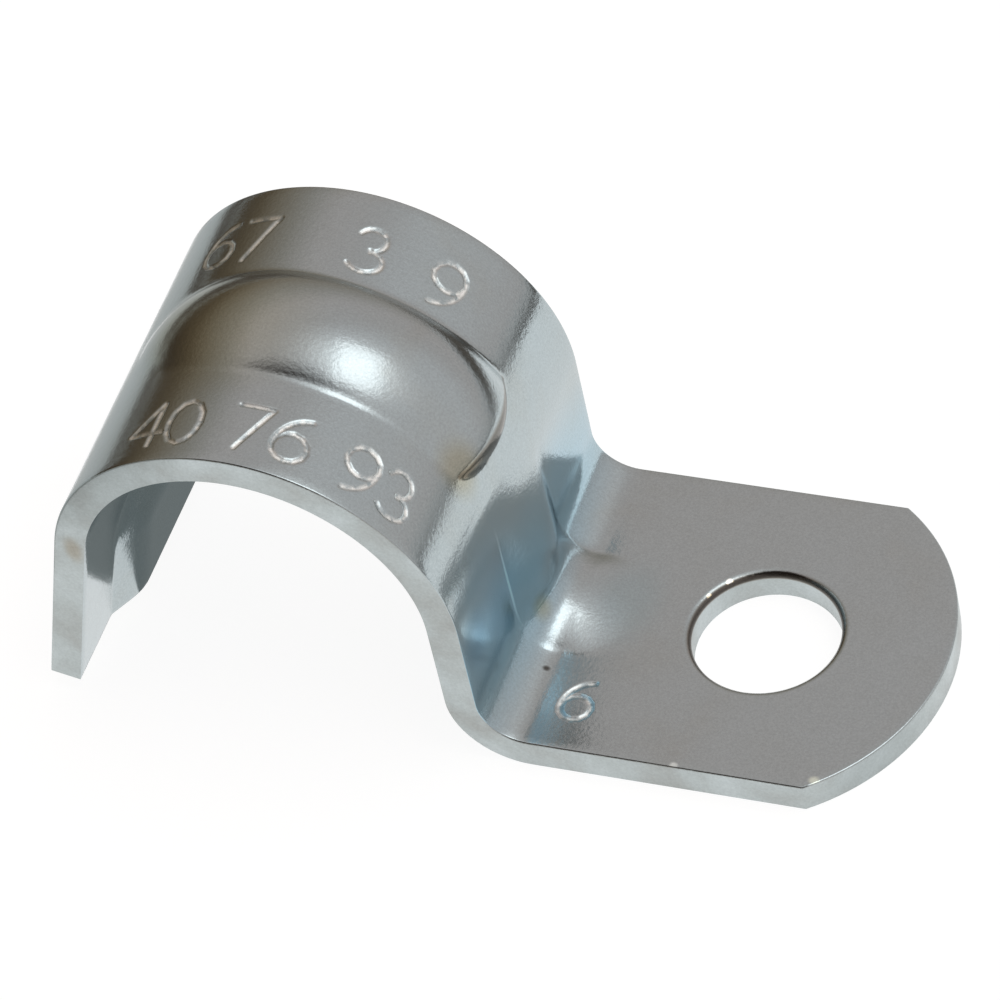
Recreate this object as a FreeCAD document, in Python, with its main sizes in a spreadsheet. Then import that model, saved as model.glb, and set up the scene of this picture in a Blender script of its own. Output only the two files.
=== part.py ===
import FreeCAD, Part
import math
import os
import Sketcher
from FreeCAD import Placement, Rotation, Vector

# One-hole strap for flexible metal cable: a single strip of zinc plated steel.
# A flat foot takes one screw, a riser stands up from it, an arch goes over the cable
# and an open leg comes down on the far side. All lengths are in millimetres.
# X runs along the strap with the foot on the plus side, Z points away from the wall,
# and the origin is the centre of the screw hole on the mounting face.

SIZES = [
    ("strap_width", 15.9, "width of the strip"),
    ("sheet_gauge", 1.4, "thickness of the sheet"),
    ("edge_round", 0.3, "rolled edge that the blanking die leaves on the outer skin"),
    ("hole_diameter", 6.5, "clearance hole for a quarter inch screw"),
    ("foot_reach", 8.2, "hole centre to the end of the foot"),
    ("foot_end_radius", 9.7, "radius of the rounded end of the foot"),
    ("hole_to_riser", 10.2, "hole centre to the outer face of the riser"),
    ("bend_radius", 2.0, "radius inside the bend between foot and riser"),
    ("arch_radius", 7.75, "radius inside the arch"),
    ("arch_height", 7.95, "mounting face to the axis of the arch"),
    ("leg_splay", 14.0, "degrees that the leg leans outwards"),
    ("leg_length", 9.3, "straight length of the leg inside"),
    ("bead_rise", 0.9, "height of the stiffening bead over the arch"),
    ("bead_width", 5.9, "width of the bead where it leaves the arch"),
    ("bead_end_angle", 31.0, "degrees over the horizontal where the blunt end of the bead begins"),
    ("bead_nose_radius", 2.0, "radius of the crest as it drops at the blunt end"),
    ("bead_fade_radius", 8.0, "radius of the crest as it sinks away towards the leg"),
    ("gusset_rise", 0.8, "height of the gusset pressed up in the bend"),
    ("gusset_width", 5.7, "width of the gusset, and diameter of its round nose"),
    ("gusset_over_axis", 0.75, "axis of the arch to the place on the riser where the gusset dies out"),
    ("gusset_rim_round", 1.2, "radius where the gusset runs out into the sheet"),
    ("detent_depth", 0.85, "how far the cable detent is pressed in at the end of the leg"),
    ("detent_margin", 3.7, "edge of the leg to the foot of the detent's long flank"),
    ("detent_flank", 2.6, "run of the long flank"),
    ("detent_land", 6.4, "width of the flat land of the detent"),
    ("detent_short_flank", 1.4, "run of the short flank"),
    ("detent_land_height", 4.4, "tip of the leg to the upper edge of the land"),
    ("detent_ramp", 2.4, "run of the ramp above the land"),
    ("detent_round", 3.5, "radius on the rims of the land"),
    ("weld_depth", 0.4, "how deep a pressed form reaches into the sheet that carries it"),
    ("clear_cut", 0.6, "how far a cut runs past the face that it opens"),
    ("sweep_spare", 2.5, "degrees that a fading form runs on inside the sheet"),
]

SHEET_NAME = "sizes"
# Two measured places that are closer than this are the same place.
SAME = 1e-4

document = FreeCAD.newDocument("cable_strap")
sizes = document.addObject("Spreadsheet::Sheet", SHEET_NAME)
for row, (alias, value, meaning) in enumerate(SIZES, start=1):
    sizes.set(f"A{row}", alias)
    sizes.set(f"B{row}", str(value))
    sizes.set(f"C{row}", meaning)
    sizes.setAlias(f"B{row}", alias)
document.recompute()


def size(alias):
    return float(sizes.get(alias))


def bound(text):
    """The text of an expression, with each size name written as a cell of the sheet."""
    for alias, _, _ in sorted(SIZES, key=lambda entry: -len(entry[0])):
        text = text.replace(f"<{alias}>", f"{SHEET_NAME}.{alias}")
    return text


strap = document.addObject("PartDesign::Body", "strap")
strap.Label = "strap"


def origin_plane(role):
    return next(plane for plane in strap.Origin.OriginFeatures if plane.Role == role)


def new_sketch(name, role, offset=None, tilt=None):
    """A sketch on an origin plane; offset and tilt (about the sketch's own x) are expressions."""
    sketch = strap.newObject("Sketcher::SketchObject", name)
    sketch.AttachmentSupport = [(origin_plane(role), "")]
    sketch.MapMode = "FlatFace"
    if tilt:
        # The placement has to turn about x by something first, or it forgets its axis.
        sketch.AttachmentOffset = Placement(Vector(), Rotation(Vector(1, 0, 0), 1))
        sketch.setExpression("AttachmentOffset.Rotation.Angle", bound(tilt))
    for axis, text in (offset or {}).items():
        sketch.setExpression(f"AttachmentOffset.Base.{axis}", bound(text))
    return sketch


def hold(sketch, kind, *where, to):
    """Add one dimension and bind it to the sheet."""
    value = sketch.evalExpression(bound(to))
    value = math.radians(value) if kind == "Angle" else float(value)
    index = sketch.addConstraint(Sketcher.Constraint(kind, *where, value))
    sketch.setExpression(f"Constraints[{index}]", bound(to))


def tie(sketch, kind, *where):
    sketch.addConstraint(Sketcher.Constraint(kind, *where))


def feature(kind, name, profile, **settings):
    """A feature of the body made from a sketch; text settings with a size in them are expressions."""
    made = strap.newObject(f"PartDesign::{kind}", name)
    made.Profile = profile
    for setting, value in settings.items():
        if isinstance(value, str) and "<" in value:
            made.setExpression(setting, bound(value))
        else:
            setattr(made, setting, value)
    profile.Visibility = False
    return made


# Ends of a sketch element, as the sketcher numbers them, and its two axes.
START, END, CENTRE = range(1, 4)
Y_AXIS, X_AXIS = range(-2, 0)


def on_arc(centre, radius, degrees):
    angle = math.radians(degrees)
    return centre + Vector(radius * math.cos(angle), radius * math.sin(angle), 0)


def arc(sketch, centre, radius, first, last):
    circle = Part.Circle(centre, Vector(0, 0, 1), radius)
    return sketch.addGeometry(Part.ArcOfCircle(circle, math.radians(first), math.radians(last)))


def line(sketch, first, last):
    return sketch.addGeometry(Part.LineSegment(first, last))


# The strip, folded
# Seen from its cut edge: foot, bend, riser, arch and leg, drawn once inside and once outside.

gauge = size("sheet_gauge")
bend = size("bend_radius")
inside = size("arch_radius")
bend_centre = Vector(bend - size("hole_to_riser"), gauge + bend, 0)
arch_centre = Vector(bend_centre.x - bend - gauge - inside, size("arch_height"), 0)
leg_angle = 180 - size("leg_splay")
down_leg = Vector(-math.sin(math.radians(leg_angle)), math.cos(math.radians(leg_angle)), 0)
blank_end = size("foot_reach") + size("clear_cut")

folds = new_sketch("folds", "XZ_Plane")
skins = {}
for skin, layer in (("inner", 0.0), ("outer", gauge)):
    bend_reach = bend + gauge - layer
    arch_reach = inside + layer
    foot = line(folds, Vector(blank_end, layer, 0), Vector(bend_centre.x, layer, 0))
    corner = arc(folds, bend_centre, bend_reach, 180, 270)
    riser = line(folds, on_arc(bend_centre, bend_reach, 180), on_arc(arch_centre, arch_reach, 0))
    arch = arc(folds, arch_centre, arch_reach, 0, leg_angle)
    leg_root = on_arc(arch_centre, arch_reach, leg_angle)
    leg = line(folds, leg_root, leg_root + down_leg * size("leg_length"))
    tie(folds, "Tangent", foot, END, corner, END)
    tie(folds, "Tangent", corner, START, riser, START)
    tie(folds, "Tangent", riser, END, arch, START)
    tie(folds, "Tangent", arch, END, leg, START)
    skins[skin] = dict(foot=foot, corner=corner, riser=riser, arch=arch, leg=leg)
inner, outer = skins["inner"], skins["outer"]
foot_end = line(folds, Vector(blank_end, 0, 0), Vector(blank_end, gauge, 0))
leg_tip = line(folds, leg_root + down_leg * size("leg_length"), on_arc(arch_centre, inside, leg_angle))
tie(folds, "Coincident", foot_end, START, inner["foot"], START)
tie(folds, "Coincident", foot_end, END, outer["foot"], START)
tie(folds, "Coincident", leg_tip, START, outer["leg"], END)
tie(folds, "Coincident", leg_tip, END, inner["leg"], END)
tie(folds, "Coincident", inner["corner"], CENTRE, outer["corner"], CENTRE)
tie(folds, "Coincident", inner["arch"], CENTRE, outer["arch"], CENTRE)
tie(folds, "PointOnObject", inner["foot"], START, X_AXIS)
tie(folds, "Horizontal", inner["foot"])
tie(folds, "Horizontal", outer["foot"])
tie(folds, "Vertical", foot_end)
tie(folds, "Vertical", inner["riser"])
tie(folds, "Parallel", inner["leg"], outer["leg"])
tie(folds, "Perpendicular", leg_tip, inner["leg"])
hold(folds, "Radius", outer["corner"], to="<bend_radius>")
hold(folds, "Radius", inner["corner"], to="<bend_radius> + <sheet_gauge>")
hold(folds, "Radius", inner["arch"], to="<arch_radius>")
hold(folds, "Radius", outer["arch"], to="<arch_radius> + <sheet_gauge>")
hold(folds, "DistanceX", outer["riser"], START, -1, START, to="<hole_to_riser>")
hold(folds, "DistanceX", -1, START, inner["foot"], START, to="<foot_reach> + <clear_cut>")
hold(folds, "DistanceY", -1, START, inner["arch"], CENTRE, to="<arch_height>")
hold(folds, "Angle", inner["leg"], to="-90 - <leg_splay>")
hold(folds, "Distance", inner["leg"], to="<leg_length>")

feature("Pad", "strip", folds, Midplane=True, Length="<strap_width>")
document.recompute()

# Blanking: the rounded end of the foot and the screw hole
# The end is one large arc that meets the straight edges in plain corners.

trim = new_sketch("foot_end_trim", "XY_Plane")
reach = size("foot_reach")
end_radius = size("foot_end_radius")
half_width = size("strap_width") / 2
spare = size("clear_cut")
arc_centre = Vector(reach - end_radius, 0, 0)
swing = math.degrees(math.asin((half_width + spare) / end_radius))
end_arc = arc(trim, arc_centre, end_radius, -swing, swing)
low = on_arc(arc_centre, end_radius, -swing)
outside = blank_end + spare
low_side = line(trim, low, Vector(outside, low.y, 0))
far_side = line(trim, Vector(outside, low.y, 0), Vector(outside, -low.y, 0))
high_side = line(trim, Vector(outside, -low.y, 0), Vector(low.x, -low.y, 0))
tie(trim, "Coincident", end_arc, START, low_side, START)
tie(trim, "Coincident", low_side, END, far_side, START)
tie(trim, "Coincident", far_side, END, high_side, START)
tie(trim, "Coincident", high_side, END, end_arc, END)
tie(trim, "Horizontal", low_side)
tie(trim, "Horizontal", high_side)
tie(trim, "Vertical", far_side)
tie(trim, "PointOnObject", end_arc, CENTRE, X_AXIS)
hold(trim, "Radius", end_arc, to="<foot_end_radius>")
hold(trim, "DistanceX", end_arc, CENTRE, -1, START, to="<foot_end_radius> - <foot_reach>")
hold(trim, "DistanceY", far_side, to="<strap_width> + 2 * <clear_cut>")
hold(trim, "DistanceX", -1, START, far_side, START, to="<foot_reach> + 2 * <clear_cut>")

feature("Pocket", "foot_end", trim, Type="ThroughAll", Midplane=True)

bore = new_sketch("screw_hole_outline", "XY_Plane")
rim = bore.addGeometry(Part.Circle(Vector(), Vector(0, 0, 1), size("hole_diameter") / 2))
tie(bore, "Coincident", rim, CENTRE, -1, START)
hold(bore, "Diameter", rim, to="<hole_diameter>")
holed = feature("Pocket", "screw_hole", bore, Type="ThroughAll", Midplane=True)
document.recompute()

# Rolled edges
# The blanking die rounds the outer skin along both sides, round the end and round the hole;
# the inner skin keeps its sharp edge.


def round_edges(name, base, wanted, radius):
    """A fillet on the edges of a feature that a test picks out."""
    chosen = [f"Edge{number}" for number, edge in enumerate(base.Shape.Edges, start=1) if wanted(edge)]
    rounds = strap.newObject("PartDesign::Fillet", name)
    rounds.Base = (base, chosen)
    rounds.setExpression("Radius", bound(radius))
    document.recompute()
    return rounds


def middle_of(edge):
    return edge.valueAt((edge.FirstParameter + edge.LastParameter) / 2)


def on_outer_skin(point):
    """True where a point of a side face lies on the outer skin of the folded strip."""
    flat = Vector(point.x, point.z, 0)
    if flat.x > bend_centre.x:
        return math.isclose(flat.y, gauge, abs_tol=SAME)
    if flat.y < bend_centre.y and flat.x > arch_centre.x:
        return math.isclose(flat.distanceToPoint(bend_centre), bend, abs_tol=SAME)
    if flat.y < arch_centre.y and flat.x > arch_centre.x:
        return math.isclose(flat.x, bend_centre.x - bend, abs_tol=SAME)
    across = (flat - arch_centre).dot(on_arc(Vector(), 1, leg_angle))
    if (flat - leg_root).dot(down_leg) > 0:
        return math.isclose(across, inside + gauge, abs_tol=SAME)
    return math.isclose(flat.distanceToPoint(arch_centre), inside + gauge, abs_tol=SAME)


def is_foot_rim(edge):
    """True for the rounded end of the foot and the rim of the hole, on the upper skin."""
    level = edge.BoundBox.ZLength < SAME and math.isclose(middle_of(edge).z, gauge, abs_tol=SAME)
    return level and isinstance(edge.Curve, Part.Circle)


def is_side_rim(edge):
    middle = middle_of(edge)
    on_side = edge.BoundBox.YLength < SAME and math.isclose(abs(middle.y), half_width, abs_tol=SAME)
    return on_side and on_outer_skin(middle)


rolled_foot = round_edges("rolled_foot", holed, is_foot_rim, "<edge_round>")
round_edges("rolled_sides", rolled_foot, is_side_rim, "<edge_round>")

# Forms pressed out of the sheet
# Each one has an arc for its cross section and is swept about an axis that runs across the
# strip. The same arc, a sheet's thickness smaller, hollows it from below, so that the sheet
# keeps its thickness. Lengths here are expressions, so that they follow the sheet of sizes.

OUTER = "(<arch_radius> + <sheet_gauge>)"
ARCH_X = "(-<hole_to_riser> - <sheet_gauge> - <arch_radius>)"
BEND_X = "(<bend_radius> - <hole_to_riser>)"
BEND_Z = "(<sheet_gauge> + <bend_radius>)"
BEAD_CREST = f"({OUTER} + <bead_rise>)"
BEAD_ARC = "((<bead_width>^2 / 4 + <bead_rise>^2) / (2 * <bead_rise>))"
GUSSET_ARC = "((<gusset_width>^2 / 4 + <gusset_rise>^2) / (2 * <gusset_rise>))"


def measure(text):
    return float(strap.evalExpression(bound(text)))


def pressed_section(name, axis_x, axis_z, tilt, radius, centre, chord):
    """An arc and its chord; the axis of the sweep is the sketch's own x axis."""
    sketch = new_sketch(name, "YZ_Plane", offset={"y": axis_z, "z": axis_x}, tilt=tilt)
    middle, level, reach = measure(centre), measure(chord), measure(radius)
    rise = math.degrees(math.asin((level - middle) / reach))
    above = level > middle
    first, last = (rise, 180 - rise) if above else (180 - rise, 360 + rise)
    bow = arc(sketch, Vector(0, middle, 0), reach, first, last)
    half_chord = reach * math.cos(math.radians(rise))
    right, left = Vector(half_chord, level, 0), Vector(-half_chord, level, 0)
    base = line(sketch, right, left) if above else line(sketch, left, right)
    tie(sketch, "Coincident", bow, START, base, START)
    tie(sketch, "Coincident", bow, END, base, END)
    tie(sketch, "PointOnObject", bow, CENTRE, Y_AXIS)
    tie(sketch, "Horizontal", base)
    hold(sketch, "Radius", bow, to=radius)
    hold(sketch, "DistanceY", -1, START, bow, CENTRE, to=centre)
    hold(sketch, "DistanceY", -1, START, base, START, to=chord)
    return sketch


def sweep(kind, name, profile, angle, back=False):
    return feature(kind, name, profile, ReferenceAxis=(profile, ["H_Axis"]), Angle=angle, Reversed=back)


def until_sunk(crest, offset):
    """Degrees of sweep until a crest circle, offset from the arch's axis, is under the arch."""
    reach = f"({OUTER}^2 - {crest}^2 - {offset}^2) / (2 * {crest} * {offset})"
    return f"acos({reach}) + <sweep_spare> * 1deg"


# Bead over the arch: blunt at the riser, sinking away smoothly towards the leg

FADE_SHIFT = f"({BEAD_CREST} - <bead_fade_radius>)"
NOSE_SHIFT = f"({BEAD_CREST} - <bead_nose_radius>)"
FADE_SWEEP = until_sunk("<bead_fade_radius>", FADE_SHIFT)

bead_top = pressed_section(
    "bead_section", ARCH_X, "<arch_height>", None, BEAD_ARC,
    centre=f"{BEAD_CREST} - {BEAD_ARC}", chord=f"{OUTER} - <weld_depth>")
sweep("Revolution", "bead", bead_top, "(90 - <bead_end_angle>) * 1deg")
bead_tail = pressed_section(
    "bead_fade_section", ARCH_X, f"<arch_height> + {FADE_SHIFT}", None, BEAD_ARC,
    centre=f"<bead_fade_radius> - {BEAD_ARC}", chord="<bead_fade_radius> - <bead_rise> - <weld_depth>")
sweep("Revolution", "bead_fade", bead_tail, FADE_SWEEP, back=True)
bead_front = pressed_section(
    "bead_nose_section",
    f"{ARCH_X} + {NOSE_SHIFT} * cos(<bead_end_angle> * 1deg)",
    f"<arch_height> + {NOSE_SHIFT} * sin(<bead_end_angle> * 1deg)",
    "(90 - <bead_end_angle>) * 1deg", BEAD_ARC,
    centre=f"<bead_nose_radius> - {BEAD_ARC}", chord="<bead_nose_radius> - <bead_rise> - <weld_depth>")
sweep("Revolution", "bead_nose", bead_front, until_sunk("<bead_nose_radius>", NOSE_SHIFT))
document.recompute()

BEAD_HOLLOW = f"({BEAD_ARC} - <sheet_gauge>)"
HOLLOW_CREST = f"({BEAD_CREST} - <sheet_gauge>)"
FADE_HOLLOW = "(<bead_fade_radius> - <sheet_gauge>)"
NOSE_TURN = f"asin((<bead_nose_radius> - <sheet_gauge>) / {HOLLOW_CREST})"

hollow_top = pressed_section(
    "bead_hollow_section", ARCH_X, "<arch_height>", None, BEAD_HOLLOW,
    centre=f"{BEAD_CREST} - {BEAD_ARC}", chord="<arch_radius> - <clear_cut>")
sweep("Groove", "bead_hollow", hollow_top, f"(90 - <bead_end_angle>) * 1deg + {NOSE_TURN}")
hollow_tail = pressed_section(
    "bead_fade_hollow_section", ARCH_X, f"<arch_height> + {FADE_SHIFT}", None, BEAD_HOLLOW,
    centre=f"<bead_fade_radius> - {BEAD_ARC}", chord=f"{FADE_HOLLOW} - <bead_rise> - <clear_cut>")
sweep("Groove", "bead_fade_hollow", hollow_tail, FADE_SWEEP, back=True)

# Gusset in the bend: a round nose on the foot, a saddle through the bend and a rib that
# dies out up the riser. It is the form that keeps the foot from opening under the screw.

GUSSET_TOP = "(<arch_height> + <gusset_over_axis>)"
RIB_RUN = f"({GUSSET_TOP} - {BEND_Z})"
RIB_CREST = f"((<gusset_rise>^2 + {RIB_RUN}^2) / (2 * <gusset_rise>))"
RIB_X = f"(<gusset_rise> - <hole_to_riser> - {RIB_CREST})"
RIB_SWEEP = f"asin({RIB_RUN} / {RIB_CREST}) + <sweep_spare> * 1deg"
SADDLE_CREST = "(<bend_radius> - <gusset_rise>)"
GUSSET_HOLLOW = f"({GUSSET_ARC} - <sheet_gauge>)"


def cap_section(name, radius, centre, chord):
    """Half of a round cap: its arc, its flat and the upright that it turns about."""
    sketch = new_sketch(name, "XZ_Plane", offset={"x": BEND_X})
    middle, level, reach = measure(centre), measure(chord), measure(radius)
    rise = math.degrees(math.asin((level - middle) / reach))
    bow = arc(sketch, Vector(0, middle, 0), reach, rise, 90)
    top, rim = Vector(0, middle + reach, 0), Vector(reach * math.cos(math.radians(rise)), level, 0)
    stem = line(sketch, top, Vector(0, level, 0))
    flat = line(sketch, Vector(0, level, 0), rim)
    tie(sketch, "Coincident", bow, END, stem, START)
    tie(sketch, "Coincident", stem, END, flat, START)
    tie(sketch, "Coincident", flat, END, bow, START)
    tie(sketch, "PointOnObject", bow, CENTRE, Y_AXIS)
    tie(sketch, "PointOnObject", stem, START, Y_AXIS)
    tie(sketch, "Vertical", stem)
    tie(sketch, "Horizontal", flat)
    hold(sketch, "Radius", bow, to=radius)
    hold(sketch, "DistanceY", -1, START, bow, CENTRE, to=centre)
    hold(sketch, "DistanceY", -1, START, flat, START, to=chord)
    return sketch


def half_turn(kind, name, profile):
    return feature(kind, name, profile, ReferenceAxis=(profile, ["V_Axis"]), Angle=180, Midplane=True)


CAP_CENTRE = f"<sheet_gauge> + <gusset_rise> - {GUSSET_ARC}"
nose = cap_section("gusset_nose_section", GUSSET_ARC, CAP_CENTRE, "<sheet_gauge> - <weld_depth>")
half_turn("Revolution", "gusset_nose", nose)
saddle = pressed_section(
    "gusset_saddle_section", BEND_X, BEND_Z, "-90 deg", GUSSET_ARC,
    centre=f"{SADDLE_CREST} + {GUSSET_ARC}", chord="<bend_radius> + <weld_depth>")
sweep("Revolution", "gusset_saddle", saddle, 90, back=True)
rib = pressed_section(
    "gusset_rib_section", RIB_X, BEND_Z, "90 deg", GUSSET_ARC,
    centre=f"{RIB_CREST} - {GUSSET_ARC}", chord=f"{RIB_CREST} - <gusset_rise> - <weld_depth>")
sweep("Revolution", "gusset_rib", rib, RIB_SWEEP, back=True)

nose_hollow = cap_section("gusset_nose_hollow_section", GUSSET_HOLLOW, CAP_CENTRE, "-<clear_cut>")
half_turn("Groove", "gusset_nose_hollow", nose_hollow)
saddle_hollow = pressed_section(
    "gusset_saddle_hollow_section", BEND_X, BEND_Z, "-90 deg", GUSSET_HOLLOW,
    centre=f"{SADDLE_CREST} + {GUSSET_ARC}", chord=f"{BEND_Z} + <clear_cut>")
sweep("Groove", "gusset_saddle_hollow", saddle_hollow, 90, back=True)
rib_hollow = pressed_section(
    "gusset_rib_hollow_section", RIB_X, BEND_Z, "90 deg", GUSSET_HOLLOW,
    centre=f"{RIB_CREST} - {GUSSET_ARC}",
    chord=f"{RIB_CREST} - <gusset_rise> - <sheet_gauge> - <clear_cut>")
sweep("Groove", "gusset_rib_hollow", rib_hollow, RIB_SWEEP, back=True)
document.recompute()

# Detent at the end of the leg
# A step pressed inwards, open at the tip, that grips the cable before the screw goes in.
# It has a long flank on one side, a flat land, a short flank and a ramp above.

TIP_X = f"({ARCH_X} - <arch_radius> * cos(<leg_splay> * 1deg) - <leg_length> * sin(<leg_splay> * 1deg))"
TIP_Z = f"(<arch_height> + <arch_radius> * sin(<leg_splay> * 1deg) - <leg_length> * cos(<leg_splay> * 1deg))"


def detent_outline(name, level, spread):
    """Outline at a level over the inner face; spread is 0 at the land and 1 at the inner face."""
    along = {"y": f"{TIP_Z} - ({level}) * sin(<leg_splay> * 1deg)",
             "z": f"{TIP_X} + ({level}) * cos(<leg_splay> * 1deg)"}
    sketch = new_sketch(name, "YZ_Plane", offset=along, tilt="<leg_splay> * 1deg")
    near = f"<detent_margin> + <detent_flank> * (1 - {spread}) - <strap_width> / 2"
    wide = f"<detent_land> + (<detent_flank> + <detent_short_flank>) * {spread}"
    tall = f"<detent_land_height> + <detent_ramp> * {spread}"
    left, breadth, height = measure(near), measure(wide), measure(tall)
    corners = [Vector(left, 0, 0), Vector(left + breadth, 0, 0),
               Vector(left + breadth, height, 0), Vector(left, height, 0)]
    followers = corners[1:] + corners[:1]
    sides = [line(sketch, corner, follower) for corner, follower in zip(corners, followers)]
    for side, next_side in zip(sides, sides[1:] + sides[:1]):
        tie(sketch, "Coincident", side, END, next_side, START)
    for level_side in sides[::2]:
        tie(sketch, "Horizontal", level_side)
    for upright_side in sides[1::2]:
        tie(sketch, "Vertical", upright_side)
    tie(sketch, "PointOnObject", sides[0], START, X_AXIS)
    hold(sketch, "DistanceX", -1, START, sides[0], START, to=near)
    hold(sketch, "DistanceX", sides[0], to=wide)
    hold(sketch, "DistanceY", sides[1], to=tall)
    return sketch


def loft(kind, name, wide_end, land):
    made = feature(kind, name, wide_end, Ruled=True)
    made.Sections = [(land, [""])]
    land.Visibility = False
    return made


buried = detent_outline(
    "detent_root", "-<weld_depth>", "((<detent_depth> + <weld_depth>) / <detent_depth>)")
land_face = detent_outline("detent_land_outline", "<detent_depth>", "0")
loft("AdditiveLoft", "detent", buried, land_face)
open_air = detent_outline(
    "detent_recess_mouth", "-<sheet_gauge> - <clear_cut>",
    "((<detent_depth> + <clear_cut>) / <detent_depth>)")
recess_floor = detent_outline("detent_recess_floor", "<detent_depth> - <sheet_gauge>", "0")
recess = loft("SubtractiveLoft", "detent_recess", open_air, recess_floor)
document.recompute()

# The rims of the land are rounded by the punch; the edge at the tip stays as it was cut.

tip = Vector(measure(TIP_X), 0, measure(TIP_Z))
up_leg = Vector(-down_leg.x, 0, -down_leg.y)
inwards = Vector(-down_leg.y, 0, down_leg.x)
step = size("detent_depth")


def is_land_rim(edge):
    heights = [(vertex.Point - tip).dot(inwards) for vertex in edge.Vertexes]
    along = [(vertex.Point - tip).dot(up_leg) for vertex in edge.Vertexes]
    on_land = all(math.isclose(height, step, abs_tol=SAME) for height in heights)
    return on_land and max(along) > SAME


land_rounds = round_edges("detent_rims", recess, is_land_rim, "<detent_round>")

# The rims of the gusset, where it runs out into the sheet
# A round carries on by itself along edges that follow each other smoothly, so the round nose
# on the foot is enough to start it.


def is_gusset_nose(edge):
    """True for the arc where the gusset's nose, narrower than the strip, meets the foot."""
    points = [middle_of(edge), *(vertex.Point for vertex in edge.Vertexes)]
    inboard = all(abs(point.y) < half_width - size("edge_round") - SAME for point in points)
    on_foot = inboard and not edge.Closed and all(map(on_outer_skin, points))
    return on_foot and isinstance(edge.Curve, Part.Circle) and edge.BoundBox.ZLength < SAME


round_edges("gusset_rims", land_rounds, is_gusset_nose, "<gusset_rim_round>")

# Check every object and write the part

for item in document.Objects:
    if {"Invalid", "Error"} & set(item.State):
        raise RuntimeError(f"{item.Name} did not build: {item.State}")
solid = strap.Shape
if solid.isNull() or not solid.isValid() or len(solid.Solids) != 1:
    raise RuntimeError("the strap is not one valid solid")
os.makedirs("parts", exist_ok=True)
solid.exportStep(os.path.join("parts", f"{strap.Label}.step"))
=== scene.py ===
import math

import bpy
from mathutils import Matrix, Vector


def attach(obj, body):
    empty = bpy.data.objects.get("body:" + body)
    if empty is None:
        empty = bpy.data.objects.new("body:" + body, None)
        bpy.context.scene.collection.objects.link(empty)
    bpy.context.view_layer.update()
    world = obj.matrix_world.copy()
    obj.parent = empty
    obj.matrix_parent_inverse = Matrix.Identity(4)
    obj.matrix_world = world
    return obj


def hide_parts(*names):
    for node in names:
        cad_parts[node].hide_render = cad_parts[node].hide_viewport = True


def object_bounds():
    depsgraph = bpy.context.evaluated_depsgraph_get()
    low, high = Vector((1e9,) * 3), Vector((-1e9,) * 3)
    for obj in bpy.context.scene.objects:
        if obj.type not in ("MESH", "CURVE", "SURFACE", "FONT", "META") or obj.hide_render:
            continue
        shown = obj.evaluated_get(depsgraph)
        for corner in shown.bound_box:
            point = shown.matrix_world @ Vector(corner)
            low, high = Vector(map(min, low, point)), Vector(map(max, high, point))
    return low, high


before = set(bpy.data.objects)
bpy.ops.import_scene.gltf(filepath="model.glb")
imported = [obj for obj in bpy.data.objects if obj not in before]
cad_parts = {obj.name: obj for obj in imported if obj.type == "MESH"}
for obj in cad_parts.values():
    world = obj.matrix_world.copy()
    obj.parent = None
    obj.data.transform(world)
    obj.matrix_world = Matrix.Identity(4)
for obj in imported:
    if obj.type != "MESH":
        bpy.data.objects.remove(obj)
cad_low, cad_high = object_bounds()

# The strap's blank: a strip of 1.4 mm sheet steel, drawn here by its outer skin, which is
# the upper one on the foot. The cross lines lie closest where the bead and the gusset run
# out into the sheet. Lengths are millimetres, turned into metres on the finished piece.

MM = 0.001
WIDTH = 15.9
GAUGE = 1.4
MARGIN = 0.5
half = WIDTH / 2
bpy.ops.object.select_all(action="DESELECT")

FOOT_ROOT = -8.2
APRON = -4.6
bpy.ops.mesh.primitive_plane_add(size=1, location=(0, 0, 0))
strap = bpy.context.object
strap.name = "folded_strap"
for finish in ("faces", "cut_edges"):
    strap.data.materials.append(bpy.data.materials.new(finish))
strap.scale = (APRON - FOOT_ROOT, WIDTH, 1)
strap.location = ((APRON + FOOT_ROOT) / 2, 0, GAUGE)
bpy.ops.object.transform_apply(location=True, rotation=False, scale=True)


def spread(stops):
    """Places from the first stop to the last, with the given number of steps between stops."""
    places = []
    for (start, steps), (stop, _) in zip(stops, stops[1:]):
        places += [start + (stop - start) * number / steps for number in range(steps)]
    return places + [stops[-1][0]]


def choose(kind, wanted):
    """Select the vertices, edges or faces that a test picks out; the mesh is left in edit mode."""
    bpy.ops.object.mode_set(mode="EDIT")
    bpy.ops.mesh.select_mode(type=kind)
    bpy.ops.mesh.select_all(action="DESELECT")
    bpy.ops.object.mode_set(mode="OBJECT")
    mesh = strap.data
    if kind == "VERT":
        for vertex in mesh.vertices:
            vertex.select = wanted(vertex.co)
    elif kind == "EDGE":
        for edge in mesh.edges:
            edge.select = all(wanted(mesh.vertices[corner].co) for corner in edge.vertices)
    else:
        for face in mesh.polygons:
            face.select = wanted(face.center)
    bpy.ops.object.mode_set(mode="EDIT")


def cut_across(places, axis):
    """Bisect the whole sheet at each place along an axis."""
    normal = [0, 0, 0]
    normal[axis] = 1
    for place in places:
        point = [0, 0, 0]
        point[axis] = place
        bpy.ops.mesh.select_all(action="SELECT")
        bpy.ops.mesh.bisect(plane_co=point, plane_no=normal)


across = spread([(MARGIN - half, 15), (-4.45, 5), (-3.5, 10), (-2.2, 22), (2.2, 10), (3.5, 11),
                 (5.7, 6), (half - MARGIN, 1)])
bpy.ops.object.mode_set(mode="EDIT")
cut_across(across, 1)
cut_across(spread([(FOOT_ROOT, 18), (APRON, 1)])[1:-1], 0)

# Folding: the strip is turned up from the foot, runs up the riser, over the cable and down
# the far side, where the leg leans outwards. Spins are the press brake's bends and plain
# extrusions the straight runs between them.

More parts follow.
